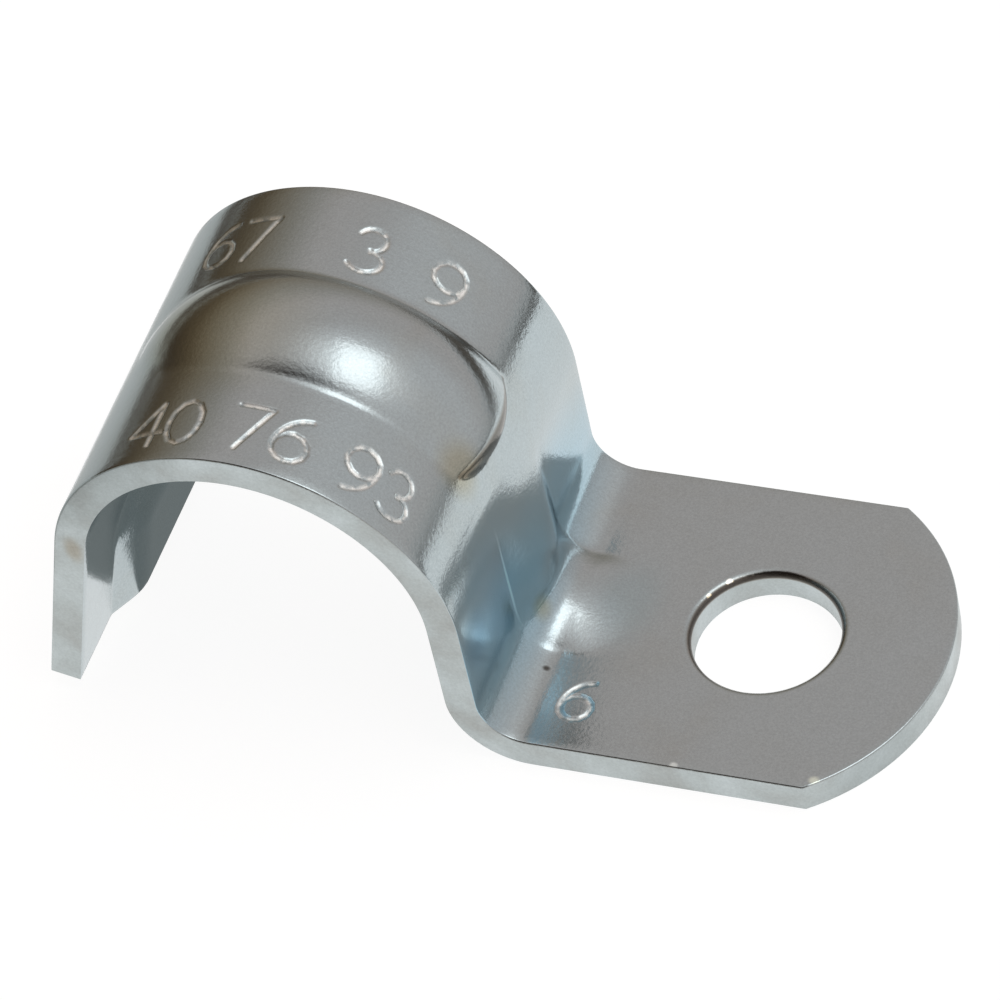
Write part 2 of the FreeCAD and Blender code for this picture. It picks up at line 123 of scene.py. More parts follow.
BEND = 2.0
RISER_FACE = FOOT_ROOT - BEND
ARCH_OUTER = 9.15
ARCH_X = RISER_FACE - ARCH_OUTER
ARCH_Z = 7.95
SPLAY = math.radians(14)
LEG = 9.3
LEG_WAY = (-math.sin(SPLAY), 0, -math.cos(SPLAY))
ARCH_TURNS = ((16, 12), (20, 28), (96, 76), (34, 24))  # degrees, and the cross lines in them
NEAR = 0.001


def run_on(direction, length, steps):
    """Carry the selected cross line straight on."""
    for _ in range(steps):
        move = [part * length / steps for part in direction]
        bpy.ops.mesh.extrude_region_move(TRANSFORM_OT_translate={"value": move})


def turn_about(x, z, degrees, steps):
    """Carry the selected cross line round an axis that lies across the strip."""
    bpy.ops.mesh.spin(steps=steps, angle=math.radians(degrees), center=(x, 0, z), axis=(0, 1, 0))


choose("EDGE", lambda place: abs(place.x - FOOT_ROOT) < NEAR)
turn_about(FOOT_ROOT, GAUGE + BEND, degrees=-90, steps=14)
run_on((0, 0, 1), ARCH_Z - GAUGE - BEND, steps=22)
for degrees, steps in ARCH_TURNS:
    turn_about(ARCH_X, ARCH_Z, degrees, steps)
run_on(LEG_WAY, LEG, steps=44)

# The rest of the foot: straight sides, a rounded end that meets them in plain corners, and
# the screw hole. A narrow border follows the outline and the hole, where the edges are
# rolled over later; the flat between the borders needs no lines of its own.

REACH = 8.2
END_RADIUS = 9.7
HOLE = 3.25
BORDER = 0.42
end_x = REACH - END_RADIUS
corner_x = end_x + math.sqrt(END_RADIUS ** 2 - half ** 2)
swing = 2 * math.degrees(math.asin(half / END_RADIUS))

choose("VERT", lambda place: abs(place.x - APRON) < NEAR and abs(place.y + half) < NEAR)
run_on((1, 0, 0), corner_x - APRON, steps=12)
bpy.ops.mesh.spin(steps=48, angle=-math.radians(swing), center=(end_x, 0, GAUGE), axis=(0, 0, 1))
run_on((-1, 0, 0), corner_x - APRON, steps=12)
bpy.ops.mesh.select_all(action="SELECT")
bpy.ops.mesh.remove_doubles(threshold=NEAR)

# The border is inset from the outline, the hole's is drawn round it, and the flat between
# the two is filled.
choose("VERT", lambda place: place.x > APRON - NEAR and abs(place.z - GAUGE) < NEAR)
bpy.ops.mesh.edge_face_add()
choose("FACE", lambda place: place.x > APRON + NEAR)
bpy.ops.mesh.inset(thickness=BORDER, depth=0)
bpy.ops.mesh.delete(type="ONLY_FACE")
bpy.ops.mesh.select_mode(type="EDGE")
bpy.ops.mesh.select_all(action="DESELECT")
bpy.ops.mesh.primitive_circle_add(vertices=112, radius=HOLE + BORDER, location=(0, 0, GAUGE))
bpy.ops.mesh.extrude_edges_move()
bpy.ops.transform.resize(value=[HOLE / (HOLE + BORDER)] * 2 + [1])


def on_inner_border(place):
    inside = (place.x > APRON + BORDER - NEAR and abs(place.y) < half - BORDER + NEAR
              and math.hypot(place.x - end_x, place.y) < END_RADIUS - BORDER + NEAR)
    return inside and math.hypot(place.x, place.y) > HOLE + BORDER - NEAR


choose("VERT", on_inner_border)
bpy.ops.mesh.select_mode(type="EDGE")
bpy.ops.mesh.fill(use_beauty=True)
bpy.ops.mesh.select_all(action="SELECT")
bpy.ops.mesh.normals_make_consistent(inside=False)
bpy.ops.object.mode_set(mode="OBJECT")
top = next(face for face in strap.data.polygons if face.center.x > APRON)
if top.normal.z < 0:
    bpy.ops.object.mode_set(mode="EDIT")
    bpy.ops.mesh.flip_normals()
    bpy.ops.object.mode_set(mode="OBJECT")

# The pressed forms. A punch lifts the bead over the arch and the gusset in the bend, and the
# leg is stepped in at its tip to catch the cable's armour. Each is set down as how far the
# skin stands out from, or lies under, the plain fold, and the sheet follows it all through.

BEAD_WIDTH = 5.9
BEAD_RISE = 0.9
# The bead's nose is rounded to less than the gauge, so the inner side of the sheet folds over
# itself at its end. A nose of 2.0 at 31 degrees should mend that, and hasn't been tried.
BEAD_NOSE_ANGLE = math.radians(28)
BEAD_NOSE = 1.3
BEAD_FADE = 8.0
BEAD_SOFT = 0.05
BEAD_FROM = math.radians(10)
BEAD_TO = math.radians(150)
GUSSET_RISE = 0.8
GUSSET_HALF = 2.85
GUSSET_NARROWS = 0.3
GUSSET_NOSE = 2.85
GUSSET_LEAVES = math.radians(70)
GUSSET_FULL = 3.6
GUSSET_END = 10.4
GUSSET_SOFT = 0.06
# Past its nose and at its upper end the gusset lies under the skin, so that it blends out.
GUSSET_UNDER = 0.02
BEYOND_NOSE_SLOPE = 0.2
BEYOND_NOSE_CURVE = 0.064
NOSE_TIP = 0.001
LEAST_LIFT = 0.004
# The tip's step: how far from the tip it starts and is full, then the same for its two flanks.
STEP_RUN = (6.8, 4.4)
NEAR_FLANK = (-4.25, -1.65)
FAR_FLANK = (6.15, 4.75)
bead_arc = ((BEAD_WIDTH / 2) ** 2 + BEAD_RISE ** 2) / (2 * BEAD_RISE)
bead_top = ARCH_OUTER + BEAD_RISE
arch_sweep = math.radians(sum(degrees for degrees, _ in ARCH_TURNS))
leg_start = Vector((ARCH_X + ARCH_OUTER * math.cos(arch_sweep), 0,
                    ARCH_Z + ARCH_OUTER * math.sin(arch_sweep)))
leg_way = Vector(LEG_WAY)


def drop(arc, offset):
    """How far an arc has fallen at an offset from its middle."""
    return arc - math.sqrt(arc ** 2 - offset ** 2) if abs(offset) < arc else arc


def root(square):
    """The square root, or -1 where there is none, which puts a form under the skin."""
    return math.sqrt(square) if square > 0 else -1


def blend_up(height, softness):
    """The height where it is above the sheet and nothing below it, with a soft foot between."""
    return (height + math.sqrt(height ** 2 + softness ** 2)) / 2


def bead_height(angle, y):
    """The bead is blunt at the riser, runs over the arch and sinks away towards the leg."""
    fall = drop(bead_arc, y)
    if angle < BEAD_NOSE_ANGLE:
        past = BEAD_NOSE_ANGLE - angle
        reach = bead_top - BEAD_NOSE
        square = (BEAD_NOSE - fall) ** 2 - (reach * math.sin(past)) ** 2
        if fall > BEAD_NOSE or square < 0:
            return -1
        radius = reach * math.cos(past) + math.sqrt(square)
    elif angle > math.pi / 2:
        past = angle - math.pi / 2
        reach = bead_top - BEAD_FADE
        square = (BEAD_FADE - fall) ** 2 - (reach * math.sin(past)) ** 2
        radius = reach * math.cos(past) + root(square)
    else:
        radius = bead_top - fall
    return radius - ARCH_OUTER


def gusset_height(place):
    """The gusset follows the bend, then its crest runs down a nose that is round in plan."""
    slope = 1 / math.tan(GUSSET_LEAVES)
    if place.x > FOOT_ROOT:
        run = place.x - FOOT_ROOT
        start = BEND - (BEND - GUSSET_RISE) / math.sin(GUSSET_LEAVES)
        along = run / GUSSET_NOSE
        if along > 1:
            return -BEYOND_NOSE_CURVE * place.y ** 2 - BEYOND_NOSE_SLOPE * (run - GUSSET_NOSE)
        crest = start - slope * run + (slope * GUSSET_NOSE - start) * along ** 2
        return crest * (1 - (place.y / GUSSET_HALF) ** 2 / max(1 - along ** 2, NOSE_TIP))
    if place.z < GAUGE + BEND:
        turned = math.atan2(GAUGE + BEND - place.z, FOOT_ROOT - place.x)
        crest = BEND - (BEND - GUSSET_RISE) / math.cos(max(turned - GUSSET_LEAVES, 0))
        return crest * (1 - (place.y / GUSSET_HALF) ** 2)
    fade = ramp(place.z, GUSSET_END, GUSSET_FULL)
    side = GUSSET_HALF - GUSSET_NARROWS * (place.z - GAUGE - BEND) / (GUSSET_END - GAUGE - BEND)
    crest = max(GUSSET_RISE * fade, GUSSET_UNDER)
    return crest * (1 - (place.y / side) ** 2) - GUSSET_UNDER


def raised(place):
    """How far the bead and the gusset lift the skin at a place."""
    angle = math.atan2(place.z - ARCH_Z, place.x - ARCH_X)
    height = 0
    if abs(place.y) < BEAD_WIDTH and BEAD_FROM < angle < BEAD_TO:
        height += blend_up(bead_height(angle, place.y), BEAD_SOFT)
    if abs(place.y) < BEAD_WIDTH and place.x > ARCH_X and place.z < GUSSET_END:
        height += blend_up(gusset_height(place), GUSSET_SOFT)
    return height if height > LEAST_LIFT else 0


def ramp(distance, start, end):
    """A slope from nothing at the start to one at the end, rounded where it leaves and lands."""
    corner = 0.3
    along = min(max((distance - start) / (end - start), 0), 1)
    if along < corner:
        return along ** 2 / (2 * corner * (1 - corner))
    if along > 1 - corner:
        return 1 - (1 - along) ** 2 / (2 * corner * (1 - corner))
    return (along - corner / 2) / (1 - corner)


def stepped_in(place):
    """The share of the leg's step at a place; the tip keeps a margin on either side of it."""
    to_tip = LEG - (place - leg_start).dot(leg_way)
    if place.x > ARCH_X or to_tip > STEP_RUN[0]:
        return 0
    return ramp(to_tip, *STEP_RUN) * ramp(place.y, *NEAR_FLANK) * ramp(place.y, *FAR_FLANK)


def shares_of(share_at):
    """Every vertex's share of a form, from a function of its place."""
    return [(vertex.index, share_at(vertex.co)) for vertex in strap.data.vertices]


def press(name, depth, shares):
    """Move the skin along its normals by the depth times each vertex's share of it."""
    group = strap.vertex_groups.new(name=name)
    for index, share in shares:
        group.add([index], share, "REPLACE")
    punch = strap.modifiers.new(name, "DISPLACE")
    punch.vertex_group = name
    punch.mid_level = 0
    punch.strength = depth
    bpy.ops.object.modifier_apply(modifier=name)
    strap.vertex_groups.remove(strap.vertex_groups[name])


# The edges of the blank are marked before it gets its thickness, all but the leg's plain tip.
bpy.ops.object.mode_set(mode="EDIT")
bpy.ops.mesh.select_mode(type="EDGE")
bpy.ops.mesh.select_all(action="DESELECT")
bpy.ops.mesh.select_non_manifold()
bpy.ops.mesh.mark_seam()
choose("EDGE",
       lambda place: (place - leg_start).dot(leg_way) > LEG - NEAR and place.x < ARCH_X)
bpy.ops.mesh.mark_seam(clear=True)
bpy.ops.object.mode_set(mode="OBJECT")

TALLEST = 1.0
STEP_IN = 0.85
press("raised_forms", TALLEST, shares_of(lambda place: raised(place) / TALLEST))
press("stepped_tip", -STEP_IN, shares_of(stepped_in))

# The thickness of the sheet and its edges: the punch rolls the rim of the hole well over and
# the outer upper edges a little. The lower ones and the tip of the leg are only broken.

HOLE_ROLL = 0.36
EDGE_ROLL = 0.10
EDGE_BREAK = 0.05
skin = len(strap.data.vertices)
wall = strap.modifiers.new("gauge", "SOLIDIFY")
wall.thickness = GAUGE
wall.offset = -1
wall.material_offset_rim = 1
wall.use_even_offset = True
wall.use_quality_normals = True
bpy.ops.object.modifier_apply(modifier="gauge")

for edge in strap.data.edges:
    ends = [strap.data.vertices[corner].co for corner in edge.vertices]
    at_hole = all(math.hypot(end.x, end.y) < HOLE + NEAR for end in ends)
    edge.select = edge.use_seam and max(edge.vertices) < skin and not at_hole
bpy.ops.object.mode_set(mode="EDIT")
bpy.ops.mesh.bevel(offset=EDGE_ROLL, segments=4, profile=0.5, affect="EDGES", clamp_overlap=True)
bpy.ops.object.mode_set(mode="OBJECT")
choose("EDGE",
       lambda place: math.hypot(place.x, place.y) < HOLE + NEAR and place.z > GAUGE - NEAR)
bpy.ops.mesh.bevel(offset=HOLE_ROLL, segments=6, profile=0.5, affect="EDGES", clamp_overlap=True)
bpy.ops.mesh.select_all(action="DESELECT")
bpy.ops.mesh.edges_select_sharp(sharpness=math.radians(50))
bpy.ops.mesh.bevel(offset=EDGE_BREAK, segments=2, profile=0.5, affect="EDGES", clamp_overlap=True)

# The stamped numbers: plain numbers struck lightly into both bands of the arch and beside
# the gusset, one stroke at a time with a worn punch, so their lines catch the light.

STRUCK = 0.07
STROKE = 0.17
STRIKE_MARGIN = 0.3
STRIKE_CUTS = 3
SKIN_DEPTH = 0.4
FOOT_SKIN_DEPTH = 0.3
ELSEWHERE = (-99, -99)


def bow(x, y, wide, tall, start, stop):
    """An arc of an oval, from one angle to another, in parts of a figure's height."""
    turns = [math.radians(start + (stop - start) * number / 12) for number in range(13)]
    return [(x + wide * math.cos(turn), y + tall * math.sin(turn)) for turn in turns]


FIGURES = {
    "0": [bow(0.33, 0.5, 0.33, 0.5, 0, 360)],
    "3": [bow(0.29, 0.74, 0.27, 0.26, 155, -80), bow(0.3, 0.26, 0.33, 0.26, 85, -150)],
    "4": [[(0.52, 0), (0.52, 1), (0, 0.3), (0.72, 0.3)]],
    "6": [bow(0.33, 0.31, 0.33, 0.31, 0, 360), bow(0.66, 0.31, 0.66, 0.69, 100, 180)],
    "7": [[(0, 1), (0.64, 1), (0.2, 0)]],
    "9": [bow(0.33, 0.69, 0.33, 0.31, 0, 360), bow(0, 0.69, 0.66, 0.69, -80, 0)],
}


def strokes_of(words, start, base, tall):
    """The strokes of a row of figures, as short straight lines in millimetres."""
    lines = []
    for word, places in words:
        for figure, place in zip(word, places):
            for stroke in FIGURES[figure]:
                points = [(start + place + x * tall, base + y * tall) for x, y in stroke]
                lines += list(zip(points, points[1:]))
    return lines


def gap_to(line, x, y):
    """Distance of a point from a straight stroke."""
    (x0, y0), (x1, y1) = line
    along_x, along_y = x1 - x0, y1 - y0
    part = ((x - x0) * along_x + (y - y0) * along_y) / (along_x ** 2 + along_y ** 2)
    part = min(max(part, 0), 1)
    return math.hypot(x - x0 - part * along_x, y - y0 - part * along_y)


def strike(name, lines, where):
    """Press a row of figures into the skin; where gives a vertex's place on the unrolled band."""
    ends = [end for line in lines for end in line]
    left, right = min(x for x, _ in ends) - STRIKE_MARGIN, max(x for x, _ in ends) + STRIKE_MARGIN
    low, high = min(y for _, y in ends) - STRIKE_MARGIN, max(y for _, y in ends) + STRIKE_MARGIN

    def in_reach(place):
        x, y = where(place)
        return left < x < right and low < y < high

    choose("FACE", in_reach)
    bpy.ops.mesh.subdivide(number_cuts=STRIKE_CUTS)
    bpy.ops.object.mode_set(mode="OBJECT")
    shares = []
    for vertex in strap.data.vertices:
        if vertex.select:
            x, y = where(vertex.co)
            gap = min(gap_to(line, x, y) for line in lines)
            if gap < STROKE:
                shares.append((vertex.index, 0.5 + 0.5 * math.cos(math.pi * gap / STROKE)))
    attributes = strap.data.attributes
    struck = attributes.get("struck") or attributes.new("struck", "FLOAT", "POINT")
    for index, share in shares:
        struck.data[index].value = share
    press(name, -STRUCK, shares)


def on_arch(place):
    """Place on the arch's outer skin, unrolled from the leg's side; other places are far off."""
    radius = math.hypot(place.x - ARCH_X, place.z - ARCH_Z)
    if place.z < ARCH_Z or radius < ARCH_OUTER - SKIN_DEPTH:
        return ELSEWHERE
    angle = math.atan2(place.z - ARCH_Z, place.x - ARCH_X)
    return (math.pi - angle) * ARCH_OUTER, place.y


def on_foot(place):
    """Place on the foot's upper skin; other places are far off."""
    if place.z < GAUGE - FOOT_SKIN_DEPTH or place.x < FOOT_ROOT:
        return ELSEWHERE
    return place.x, place.y


near_row = [("40", (0, 1.9)), ("76", (4.9, 6.8)), ("93", (9.9, 11.8))]
far_row = [("67", (0, 2.0)), ("3", (7.3,)), ("9", (10.9,))]
strike("near_band", strokes_of(near_row, start=9.5, base=-7.05, tall=2.35), on_arch)
strike("far_band", strokes_of(far_row, start=8.6, base=3.65, tall=2.4), on_arch)
strike("foot_figure", strokes_of([("6", (0,))], start=-7.5, base=-6.3, tall=2.1), on_foot)

# Painted shade: a dull dark line on the steep face where the bead ends bluntly, and a dark
# rim round the hole where the punch rolled its edge over.

NOSE_PAINTED_SHADE = 0.65
NOSE_UNSHADED_ABOVE = (1.0, 0.96)
NOSE_UNSHADED_BELOW = (-0.5, 0.0)
NOSE_PAINTED_SHADE_FROM = 0.2
RIM_PAINTED_SHADE = 0.85
RIM_PAINTED_SHADE_DOWN = (GAUGE - 0.01, GAUGE - 0.12)
RIM_PAINTED_SHADE_WIDTH = HOLE_ROLL * 0.9
painted_shade = strap.data.attributes.new("painted_shade", "FLOAT", "POINT")
for vertex in strap.data.vertices:
    spot = vertex.co
    radius = math.hypot(spot.x - ARCH_X, spot.z - ARCH_Z)
    angle = math.atan2(spot.z - ARCH_Z, spot.x - ARCH_X)
    on_bead = radius > ARCH_OUTER - 0.2 and abs(spot.y) < BEAD_WIDTH / 2 - 0.1
    # painted shade on the steep face of the bead's blunt end
    if on_bead and NOSE_PAINTED_SHADE_FROM < angle < BEAD_NOSE_ANGLE:
        full_height = BEAD_RISE - drop(bead_arc, spot.y)
        part = bead_height(angle, spot.y) / full_height
        share = NOSE_PAINTED_SHADE * ramp(part, *NOSE_UNSHADED_ABOVE) * ramp(part, *NOSE_UNSHADED_BELOW)
        painted_shade.data[vertex.index].value = share
    # painted shade round the hole's rolled rim
    on_rim = HOLE - NEAR < math.hypot(spot.x, spot.y) < HOLE + RIM_PAINTED_SHADE_WIDTH
    if on_rim and GAUGE - HOLE_ROLL < spot.z:
        painted_shade.data[vertex.index].value = RIM_PAINTED_SHADE * ramp(spot.z, *RIM_PAINTED_SHADE_DOWN)

# The finished piece: brought to its true size, its faces smoothed and its broken edges kept.
strap.scale = (MM, MM, MM)
bpy.ops.object.transform_apply(location=False, rotation=False, scale=True)
bpy.ops.object.shade_smooth_by_angle(angle=math.radians(40))
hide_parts("strap")
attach(strap, "root")

# The zinc plating: a few micrometres of bright, slightly blue metal over rolled steel. It is
# smooth with a fine satin grain on the faces and duller on the sheared edges. Faint stains and
# tinges lie on it, some of them painted shade, highlights and reflections; the struck lines are
# bare and bright, and painted shade darkens the bead's blunt end and the hole's rolled rim.

MIX_FACTOR, MIX_FIRST, MIX_SECOND, MIX_RESULT = 0, 6, 7, 2  # colour sockets of a Mix node
MICRON = 1e-6
WHITE = (1, 1, 1)


def link(material, source, output, target, entry):
    material.node_tree.links.new(source.outputs[output], target.inputs[entry])


def node(material, kind, **settings):
    made = material.node_tree.nodes.new(kind)
    for setting, value in settings.items():
        if isinstance(value, (int, float, str, bool)) and hasattr(made, setting):
            setattr(made, setting, value)
        else:
            made.inputs[setting].default_value = value
    return made


def shades(material, source, output, stops):
    """A colour ramp over a value, from (place, colour) stops."""
    scale = node(material, "ShaderNodeValToRGB")
    elements = scale.color_ramp.elements
    for element, (place, colour) in ((elements[0], stops[0]), (elements[1], stops[-1])):
        element.position = place
        element.color = (*colour, 1)
    for place, colour in stops[1:-1]:
        elements.new(place).color = (*colour, 1)
    link(material, source, output, scale, "Fac")
    return scale


def multiplied(material, first, first_output, second, second_output):
    """The product of two colours."""
    product = node(material, "ShaderNodeMix", data_type="RGBA", blend_type="MULTIPLY")
    product.inputs[MIX_FACTOR].default_value = 1
    link(material, first, first_output, product, MIX_FIRST)
    link(material, second, second_output, product, MIX_SECOND)
    return product


def zinc_plating(name, roughness, grain, tones, tinges):
    """Zinc with a grain in micrometres; tones run from stained to clean, tinges are local."""
    zinc = bpy.data.materials.new(name)
    zinc.use_nodes = True
    shader = zinc.node_tree.nodes["Principled BSDF"]
    shader.inputs["Metallic"].default_value = 1.0
    place = node(zinc, "ShaderNodeTexCoord")
    struck = node(zinc, "ShaderNodeAttribute", attribute_name="struck")
    stain = node(zinc, "ShaderNodeTexNoise", Scale=260, Detail=4, Roughness=0.55, Distortion=0.4)
    link(zinc, place, "Object", stain, "Vector")
    fine = node(zinc, "ShaderNodeTexNoise", Scale=5200, Detail=3, Roughness=0.6)
    link(zinc, place, "Object", fine, "Vector")
    # painted shade: the colour darkens along the bead's blunt end and round the hole's rolled rim
    painted_shade = node(zinc, "ShaderNodeAttribute", attribute_name="painted_shade")
    painted_shade_colour = shades(zinc, painted_shade, "Fac", [(0, WHITE), (0.5, (0.55, 0.48, 0.43)),
                                        (1, (0.14, 0.11, 0.10))])
    tone = multiplied(zinc, shades(zinc, stain, "Fac", tones), "Color", painted_shade_colour, "Color")
    worn = node(zinc, "ShaderNodeTexNoise", Scale=2300, Detail=3, Roughness=0.65)
    link(zinc, place, "Object", worn, "Vector")
    speckle = shades(zinc, worn, "Fac", [(0.40, (0.02,) * 3), (0.56, (1,) * 3)])
    bare = node(zinc, "ShaderNodeMath", operation="MULTIPLY")
    link(zinc, struck, "Fac", bare, 0)
    link(zinc, speckle, "Color", bare, 1)
    colour = node(zinc, "ShaderNodeMix", data_type="RGBA")
    link(zinc, bare, "Value", colour, MIX_FACTOR)
    link(zinc, tone, MIX_RESULT, colour, MIX_FIRST)
    colour.inputs[MIX_SECOND].default_value = (0.98, 1.0, 0.97, 1)
    satin = node(zinc, "ShaderNodeTexNoise", Scale=9500, Detail=2, Roughness=0.7)
    link(zinc, place, "Object", satin, "Vector")
    satin_tone = shades(zinc, satin, "Fac", [(0.3, (0.92,) * 3), (0.7, (1.08,) * 3)])
    colour = multiplied(zinc, colour, MIX_RESULT, satin_tone, "Color")
    # each tinge multiplies the colour in a soft patch: stains and tints, and also painted shade,
    # painted highlights and painted reflections
    for centre, extent, tinge in tinges:
        offset = node(zinc, "ShaderNodeVectorMath", operation="SUBTRACT")
        link(zinc, place, "Object", offset, 0)
        offset.inputs[1].default_value = [part * MM for part in centre]
        scaled = node(zinc, "ShaderNodeVectorMath", operation="DIVIDE")
        link(zinc, offset, "Vector", scaled, 0)
        scaled.inputs[1].default_value = [part * MM for part in extent]
        reach = node(zinc, "ShaderNodeVectorMath", operation="LENGTH")
        link(zinc, scaled, "Vector", reach, 0)
        patch = shades(zinc, reach, "Value", [(0.25, tinge), (1, WHITE)])
        patch.color_ramp.interpolation = "EASE"
        colour = multiplied(zinc, colour, MIX_RESULT, patch, "Color")
    # a painted highlight: a thin bright ring round the gusset's nose where its outline meets the
    # foot
    nose_place = node(zinc, "ShaderNodeVectorMath", operation="DISTANCE")
    link(zinc, place, "Object", nose_place, 0)
    nose_place.inputs[1].default_value = [part * MM for part in (FOOT_ROOT, 0, GAUGE)]
    nose_outline_highlight = shades(zinc, nose_place, "Value", [((GUSSET_NOSE - 0.02) * MM, WHITE),
                                                 ((GUSSET_NOSE + 0.05) * MM, (1.35, 1.35, 1.32)),
                                                 ((GUSSET_NOSE + 0.12) * MM, WHITE)])
    colour = multiplied(zinc, colour, MIX_RESULT, nose_outline_highlight, "Color")
    link(zinc, colour, MIX_RESULT, shader, "Base Color")
    low, high = roughness
    rub = shades(zinc, stain, "Fac", [(0.3, (high,) * 3), (0.7, (low,) * 3)])
    dull = node(zinc, "ShaderNodeMath", operation="MULTIPLY_ADD")
    link(zinc, struck, "Fac", dull, 0)
    dull.inputs[1].default_value = 0.35
    link(zinc, rub, "Color", dull, 2)
    link(zinc, dull, "Value", shader, "Roughness")
    bump = node(zinc, "ShaderNodeBump", Strength=1.0, Distance=grain * MICRON)
    link(zinc, fine, "Fac", bump, "Height")
    link(zinc, bump, "Normal", shader, "Normal")
    return zinc


FACE_TONES = [(0.30, (0.445, 0.495, 0.50)), (0.45, (0.45, 0.51, 0.525)),
              (0.70, (0.455, 0.52, 0.54))]
CUT_TONES = [(0.30, (0.40, 0.42, 0.41)), (0.50, (0.46, 0.505, 0.505)), (0.70, (0.53, 0.585, 0.595))]

# Tinges are soft patches that multiply the colour, real stains and tints as well as painted
# shade, painted highlights and painted reflections: centre and size in millimetres, and tinge.
FACE_TINGES_AND_PAINTED_LIGHT = [
    # the blue riser
    ((-10.2, -1, 4.0), (1.9, 14, 4.8), (0.80, 1.05, 1.20)),
    # painted shade: the arch darker and browner towards the leg
    ((-22.0, -0.6, 17.2), (6.0, 4.2, 4.0), (0.99, 0.93, 0.81)),
    ((-23.2, 0, 16.4), (4.0, 18, 4.0), (0.80, 0.77, 0.71)),
    # painted shade and a blue place at the riser's near side, and a painted highlight as a bright
    # line up it
    ((-10.2, -6.6, 6.4), (1.2, 1.7, 2.0), (0.64, 0.74, 0.80)),
    ((-10.2, -5.2, 6.8), (1.9, 4.6, 4.4), (0.86, 1.0, 1.10)),
    ((-10.2, -2.7, 5.8), (1.0, 0.10, 3.9), (1.75, 1.7, 1.65)),
    # the gusset's nose
    ((-6.3, 0.4, 1.6), (2.0, 3.2, 1.4), (0.92, 0.97, 0.985)),
    # glints on the rim of the hole and on the near edge of the foot
    ((-2.38, 2.41, 1.3), (0.2, 0.2, 0.3), (11, 10, 7.5)),
    ((-1.43, 2.86, 1.3), (0.22, 0.2, 0.3), (11, 11, 10.5)),
    ((-3.0, 1.48, 1.3), (0.17, 0.17, 0.25), (8, 6.4, 4.5)),
    ((-1.66, -7.84, 1.35), (0.26, 0.22, 0.3), (2.0, 2.0, 1.95)),
    ((4.44, -7.45, 1.35), (0.34, 0.3, 0.3), (1.9, 1.85, 1.6)),
    # painted brown reflections beside the bead's end and the bend, and a dark speck on the foot
    ((-11.2, -2.6, 12.4), (1.5, 1.5, 2.0), (0.93, 0.83, 0.68)),
    ((-9.3, -1.7, 2.9), (0.6, 0.9, 0.9), (0.95, 0.80, 0.62)),
    ((-8.70, -3.86, 1.46), (0.24, 0.20, 0.3), (0.25, 0.22, 0.2)),
]
CUT_TINGES_AND_PAINTED_SHADE = [
    # a brown stain on the leg's near edge, then the shaded arch and the end of the foot
    ((-27.4, -7.95, 9.8), (0.6, 0.5, 1.1), (0.85, 0.76, 0.67)),
    ((-25, -7.95, 14.2), (6, 1, 5), (0.80, 0.81, 0.81)),
    ((6.5, -5, 0.7), (3.5, 4, 2), (0.83, 0.84, 0.84)),
]
strap.data.materials[0] = zinc_plating("zinc_faces", roughness=(0.12, 0.20), grain=8,
                                       tones=FACE_TONES, tinges=FACE_TINGES_AND_PAINTED_LIGHT)
strap.data.materials[1] = zinc_plating("zinc_cut_edges", roughness=(0.30, 0.45), grain=12,
                                       tones=CUT_TONES, tinges=CUT_TINGES_AND_PAINTED_SHADE)

# The table: a pale sheet of paper that the strap rests on, wide enough to reach the horizon.

bpy.ops.object.select_all(action="DESELECT")
TABLE = 2.4
TABLE_GAP = 0.05 * MM
bpy.ops.mesh.primitive_plane_add(size=TABLE, location=(0, 0, cad_low.z - TABLE_GAP))
table = bpy.context.object
table.name = "pale_table"
paper = bpy.data.materials.new("pale_paper")
paper.use_nodes = True
paper_inputs = paper.node_tree.nodes["Principled BSDF"].inputs
paper_inputs["Base Color"].default_value = (0.2, 0.2, 0.2, 1)
paper_inputs["Roughness"].default_value = 0.9
paper_inputs["Emission Color"].default_value = (1, 1, 1, 1)
paper_inputs["Emission Strength"].default_value = 0.90
table.data.materials.append(paper)

# The studio round the table: cards that start a few centimetres from the strap and are seen
# only in its plating, with a dark line where the paper ends, then a lamp and a dull room.


def reflected_card(name, low, high, colour, height):
    """A flat card beside the strap that shows only in reflections."""
    bpy.ops.object.select_all(action="DESELECT")
    middle = ((low[0] + high[0]) / 2, (low[1] + high[1]) / 2, height)
    bpy.ops.mesh.primitive_plane_add(size=1, location=middle)
    card = bpy.context.object
    card.name = name
    card.scale = (high[0] - low[0], high[1] - low[1], 1)
    bpy.ops.object.transform_apply(location=True, rotation=False, scale=True)
    tint = bpy.data.materials.new(name)
    tint.use_nodes = True
    shader = tint.node_tree.nodes["Principled BSDF"]
    shader.inputs["Base Color"].default_value = (0, 0, 0, 1)
    shader.inputs["Specular IOR Level"].default_value = 0
    shader.inputs["Emission Color"].default_value = (*colour, 1)
    shader.inputs["Emission Strength"].default_value = 1
    card.data.materials.append(tint)
    card.visible_camera = False
    card.visible_diffuse = False
    card.visible_shadow = False


reflected_card("paper_edge", (0.049, -0.10), (0.079, 0.25), (0.012, 0.007, 0.004), 0.25 * MM)
reflected_card("room_beyond_far_side", (-0.30, 0.05), (0.049, 1.2), (0.11, 0.09, 0.075), 0.3 * MM)
reflected_card("room_beyond_foot", (0.079, -1.2), (1.2, 1.2), (0.54, 0.52, 0.51), 0.2 * MM)
reflected_card("shade_under_arch", (-0.031, -0.0024), (-0.012, 0.016), (0.20, 0.22, 0.22), 0.2 * MM)
reflected_card("room_beyond_leg", (-1.2, -1.2), (-0.038, 1.2), (0.55, 0.56, 0.55), 0.2 * MM)


